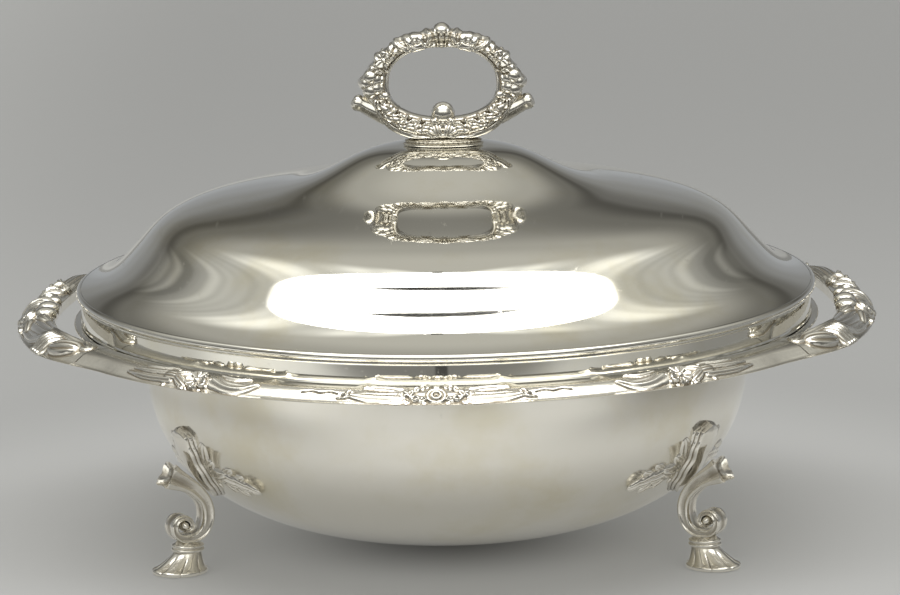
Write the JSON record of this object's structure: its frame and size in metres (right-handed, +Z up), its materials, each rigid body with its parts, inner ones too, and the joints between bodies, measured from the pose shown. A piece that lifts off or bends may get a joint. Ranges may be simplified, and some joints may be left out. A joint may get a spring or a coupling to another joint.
{
  "type": "covered casserole dish",
  "caption": "Round silver-plated covered casserole dish on cast scroll legs, with an ornate border, open loop handles, a glass liner and a domed lid with a ring finial.",
  "frame": {"origin": "on the surface that the dish stands on, under the middle of the bowl", "axes": "+X towards the right handle, +Y towards the rear foot, +Z up"},
  "size_m": [0.31, 0.297, 0.1877],
  "materials": {
    "polished_silver_plate": "polished",
    "cast_silver_plate": "gloss",
    "bare_brass": "satin",
    "clear_glass": "gloss"
  },
  "bodies": {
    "dish": {"bowl": "polished_silver_plate", "bowl_brim": "polished_silver_plate", "border_front": "cast_silver_plate", "border_rear": "cast_silver_plate", "handle_left": "cast_silver_plate", "handle_right": "cast_silver_plate", "leaf_mount_front_left": "cast_silver_plate", "leaf_mount_front_right": "cast_silver_plate", "leaf_mount_rear": "cast_silver_plate", "scroll_leg_front_left": "cast_silver_plate", "scroll_leg_front_right": "cast_silver_plate", "scroll_leg_rear": "cast_silver_plate"},
    "liner": {"glass_liner": "clear_glass"},
    "lid": {"lid_dome": "polished_silver_plate", "lid_bead": "polished_silver_plate", "lid_skirt": "polished_silver_plate", "finial_base": "cast_silver_plate", "finial_ring": "cast_silver_plate", "finial_stud": "bare_brass", "finial_washer": "bare_brass", "finial_nut": "bare_brass"}
  },
  "joints": [
    {"name": "liner_lift", "type": "slide", "parent": "dish", "child": "liner", "axis": [0, 0, 1], "range_m": [0, 0.095]},
    {"name": "lid_lift", "type": "slide", "parent": "liner", "child": "lid", "axis": [0, 0, 1], "range_m": [0, 0.12]}
  ]
}
